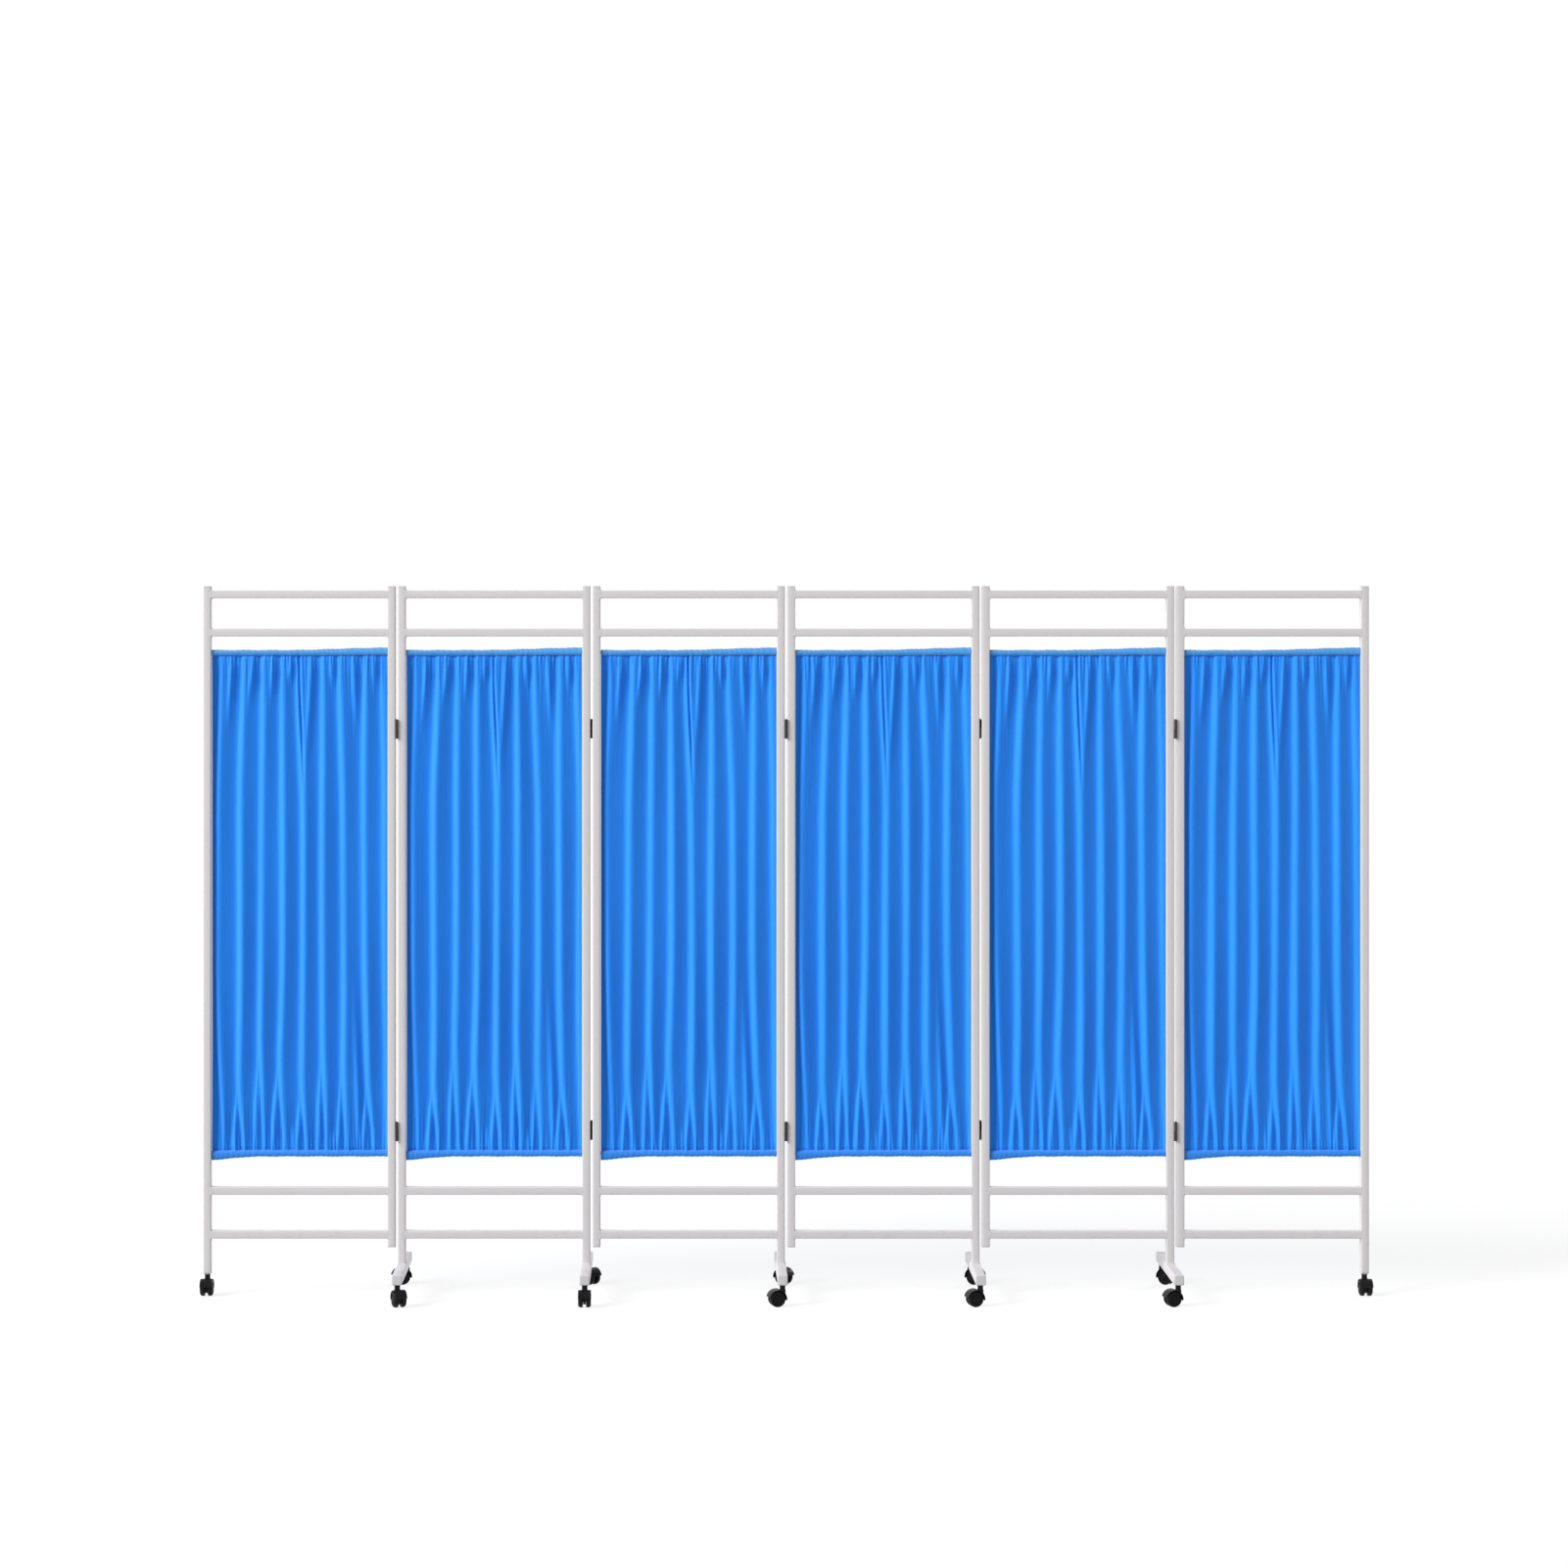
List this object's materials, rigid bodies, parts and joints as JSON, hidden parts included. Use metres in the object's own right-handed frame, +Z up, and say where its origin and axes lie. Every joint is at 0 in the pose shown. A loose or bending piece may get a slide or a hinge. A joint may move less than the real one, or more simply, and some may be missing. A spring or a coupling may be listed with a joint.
{
  "type": "ward privacy screen on wheels",
  "caption": "Folding privacy screen: hinged tube frames with gathered blue curtains, standing on cross feet and end posts with swivelling twin-wheel casters.",
  "frame": {"origin": "on the floor, under the middle of the straight screen", "axes": "+X along the straight screen, to the right seen from the front; +Y to the back; +Z up"},
  "size_m": [2.97, 0.363, 1.8],
  "materials": {
    "frame_coat": "satin powder coat",
    "curtain_cloth": "matt woven cloth",
    "rod_steel": "drawn",
    "hinge_steel": "dull",
    "caster_housing": "moulded",
    "caster_wheel": "moulded"
  },
  "bodies": {
    "panel_1": {"panel_1_frame": "frame_coat", "panel_1_curtain": "curtain_cloth", "panel_1_upper_rod": "rod_steel", "panel_1_lower_rod": "rod_steel"},
    "panel_2": {"panel_2_frame": "frame_coat", "panel_2_curtain": "curtain_cloth", "panel_2_upper_rod": "rod_steel", "panel_2_lower_rod": "rod_steel", "hinge_1_upper_pin": "hinge_steel", "hinge_1_lower_pin": "hinge_steel", "hinge_2_upper_pin": "hinge_steel", "hinge_2_lower_pin": "hinge_steel"},
    "panel_3": {"panel_3_frame": "frame_coat", "panel_3_curtain": "curtain_cloth", "panel_3_upper_rod": "rod_steel", "panel_3_lower_rod": "rod_steel", "hinge_3_upper_pin": "hinge_steel", "hinge_3_lower_pin": "hinge_steel"},
    "panel_4": {"panel_4_frame": "frame_coat", "panel_4_curtain": "curtain_cloth", "panel_4_upper_rod": "rod_steel", "panel_4_lower_rod": "rod_steel", "hinge_4_upper_pin": "hinge_steel", "hinge_4_lower_pin": "hinge_steel"},
    "panel_5": {"panel_5_frame": "frame_coat", "panel_5_curtain": "curtain_cloth", "panel_5_upper_rod": "rod_steel", "panel_5_lower_rod": "rod_steel", "hinge_5_upper_pin": "hinge_steel", "hinge_5_lower_pin": "hinge_steel"},
    "panel_6": {"panel_6_frame": "frame_coat", "panel_6_curtain": "curtain_cloth", "panel_6_upper_rod": "rod_steel", "panel_6_lower_rod": "rod_steel"},
    "caster_left_end": {"caster_left_end_housing": "caster_housing"},
    "wheels_left_end": {"caster_left_end_wheels": "caster_wheel"},
    "caster_right_end": {"caster_right_end_housing": "caster_housing"},
    "wheels_right_end": {"caster_right_end_wheels": "caster_wheel"},
    "caster_foot_1_front": {"caster_foot_1_front_housing": "caster_housing"},
    "wheels_foot_1_front": {"caster_foot_1_front_wheels": "caster_wheel"},
    "caster_foot_1_back": {"caster_foot_1_back_housing": "caster_housing"},
    "wheels_foot_1_back": {"caster_foot_1_back_wheels": "caster_wheel"},
    "caster_foot_2_front": {"caster_foot_2_front_housing": "caster_housing"},
    "wheels_foot_2_front": {"caster_foot_2_front_wheels": "caster_wheel"},
    "caster_foot_2_back": {"caster_foot_2_back_housing": "caster_housing"},
    "wheels_foot_2_back": {"caster_foot_2_back_wheels": "caster_wheel"},
    "caster_foot_3_front": {"caster_foot_3_front_housing": "caster_housing"},
    "wheels_foot_3_front": {"caster_foot_3_front_wheels": "caster_wheel"},
    "caster_foot_3_back": {"caster_foot_3_back_housing": "caster_housing"},
    "wheels_foot_3_back": {"caster_foot_3_back_wheels": "caster_wheel"},
    "caster_foot_4_front": {"caster_foot_4_front_housing": "caster_housing"},
    "wheels_foot_4_front": {"caster_foot_4_front_wheels": "caster_wheel"},
    "caster_foot_4_back": {"caster_foot_4_back_housing": "caster_housing"},
    "wheels_foot_4_back": {"caster_foot_4_back_wheels": "caster_wheel"},
    "caster_foot_5_front": {"caster_foot_5_front_housing": "caster_housing"},
    "wheels_foot_5_front": {"caster_foot_5_front_wheels": "caster_wheel"},
    "caster_foot_5_back": {"caster_foot_5_back_housing": "caster_housing"},
    "wheels_foot_5_back": {"caster_foot_5_back_wheels": "caster_wheel"}
  },
  "joints": [
    {"name": "fold_2", "type": "hinge", "parent": "panel_3", "child": "panel_2", "pos_m": [-0.494, 0.0125, 0], "axis": [0, 0, -1], "range_deg": [-10, 120]},
    {"name": "fold_1", "type": "hinge", "parent": "panel_2", "child": "panel_1", "pos_m": [-0.988, -0.0125, 0], "axis": [0, 0, 1], "range_deg": [-10, 120]},
    {"name": "fold_3", "type": "hinge", "parent": "panel_3", "child": "panel_4", "pos_m": [0, -0.0125, 0], "axis": [0, 0, -1], "range_deg": [-10, 120]},
    {"name": "fold_4", "type": "hinge", "parent": "panel_4", "child": "panel_5", "pos_m": [0.494, 0.0125, 0], "axis": [0, 0, 1], "range_deg": [-10, 120]},
    {"name": "fold_5", "type": "hinge", "parent": "panel_5", "child": "panel_6", "pos_m": [0.988, -0.0125, 0], "axis": [0, 0, -1], "range_deg": [-10, 120]},
    {"name": "swivel_left_end", "type": "hinge", "parent": "panel_1", "child": "caster_left_end", "pos_m": [-1.469, 0, 0], "axis": [0, 0, 1], "continuous": true},
    {"name": "roll_left_end", "type": "hinge", "parent": "caster_left_end", "child": "wheels_left_end", "pos_m": [-1.469, -0.015, 0.02], "axis": [1, 0, 0], "continuous": true},
    {"name": "swivel_right_end", "type": "hinge", "parent": "panel_6", "child": "caster_right_end", "pos_m": [1.469, 0, 0], "axis": [0, 0, 1], "continuous": true},
    {"name": "roll_right_end", "type": "hinge", "parent": "caster_right_end", "child": "wheels_right_end", "pos_m": [1.469, -0.015, 0.02], "axis": [1, 0, 0], "continuous": true},
    {"name": "swivel_foot_1_front", "type": "hinge", "parent": "panel_2", "child": "caster_foot_1_front", "pos_m": [-0.975, -0.152, 0], "axis": [0, 0, 1], "continuous": true},
    {"name": "roll_foot_1_front", "type": "hinge", "parent": "caster_foot_1_front", "child": "wheels_foot_1_front", "pos_m": [-0.96987, -0.16609, 0.02], "axis": [0.9397, 0.342, 0], "continuous": true},
    {"name": "swivel_foot_1_back", "type": "hinge", "parent": "panel_2", "child": "caster_foot_1_back", "pos_m": [-0.975, 0.152, 0], "axis": [0, 0, 1], "continuous": true},
    {"name": "roll_foot_1_back", "type": "hinge", "parent": "caster_foot_1_back", "child": "wheels_foot_1_back", "pos_m": [-0.98799, 0.1445, 0.02], "axis": [0.5, -0.866, 0], "continuous": true},
    {"name": "swivel_foot_2_front", "type": "hinge", "parent": "panel_2", "child": "caster_foot_2_front", "pos_m": [-0.507, -0.152, 0], "axis": [0, 0, 1], "continuous": true},
    {"name": "roll_foot_2_front", "type": "hinge", "parent": "caster_foot_2_front", "child": "wheels_foot_2_front", "pos_m": [-0.507, -0.167, 0.02], "axis": [1, 0, 0], "continuous": true},
    {"name": "swivel_foot_2_back", "type": "hinge", "parent": "panel_2", "child": "caster_foot_2_back", "pos_m": [-0.507, 0.152, 0], "axis": [0, 0, 1], "continuous": true},
    {"name": "roll_foot_2_back", "type": "hinge", "parent": "caster_foot_2_back", "child": "wheels_foot_2_back", "pos_m": [-0.49736, 0.14051, 0.02], "axis": [0.766, 0.6428, 0], "continuous": true},
    {"name": "swivel_foot_3_front", "type": "hinge", "parent": "panel_3", "child": "caster_foot_3_front", "pos_m": [-0.013, -0.152, 0], "axis": [0, 0, 1], "continuous": true},
    {"name": "roll_foot_3_front", "type": "hinge", "parent": "caster_foot_3_front", "child": "wheels_foot_3_front", "pos_m": [-0.02749, -0.15588, 0.02], "axis": [0.2588, -0.9659, 0], "continuous": true},
    {"name": "swivel_foot_3_back", "type": "hinge", "parent": "panel_3", "child": "caster_foot_3_back", "pos_m": [-0.013, 0.152, 0], "axis": [0, 0, 1], "continuous": true},
    {"name": "roll_foot_3_back", "type": "hinge", "parent": "caster_foot_3_back", "child": "wheels_foot_3_back", "pos_m": [-0.00151, 0.14236, 0.02], "axis": [0.6428, 0.766, 0], "continuous": true},
    {"name": "swivel_foot_4_front", "type": "hinge", "parent": "panel_4", "child": "caster_foot_4_front", "pos_m": [0.481, -0.152, 0], "axis": [0, 0, 1], "continuous": true},
    {"name": "roll_foot_4_front", "type": "hinge", "parent": "caster_foot_4_front", "child": "wheels_foot_4_front", "pos_m": [0.46651, -0.15588, 0.02], "axis": [0.2588, -0.9659, 0], "continuous": true},
    {"name": "swivel_foot_4_back", "type": "hinge", "parent": "panel_4", "child": "caster_foot_4_back", "pos_m": [0.481, 0.152, 0], "axis": [0, 0, 1], "continuous": true},
    {"name": "roll_foot_4_back", "type": "hinge", "parent": "caster_foot_4_back", "child": "wheels_foot_4_back", "pos_m": [0.49249, 0.14236, 0.02], "axis": [0.6428, 0.766, 0], "continuous": true},
    {"name": "swivel_foot_5_front", "type": "hinge", "parent": "panel_5", "child": "caster_foot_5_front", "pos_m": [0.975, -0.152, 0], "axis": [0, 0, 1], "continuous": true},
    {"name": "roll_foot_5_front", "type": "hinge", "parent": "caster_foot_5_front", "child": "wheels_foot_5_front", "pos_m": [0.96051, -0.15588, 0.02], "axis": [0.2588, -0.9659, 0], "continuous": true},
    {"name": "swivel_foot_5_back", "type": "hinge", "parent": "panel_5", "child": "caster_foot_5_back", "pos_m": [0.975, 0.152, 0], "axis": [0, 0, 1], "continuous": true},
    {"name": "roll_foot_5_back", "type": "hinge", "parent": "caster_foot_5_back", "child": "wheels_foot_5_back", "pos_m": [0.98649, 0.14236, 0.02], "axis": [0.6428, 0.766, 0], "continuous": true}
  ]
}
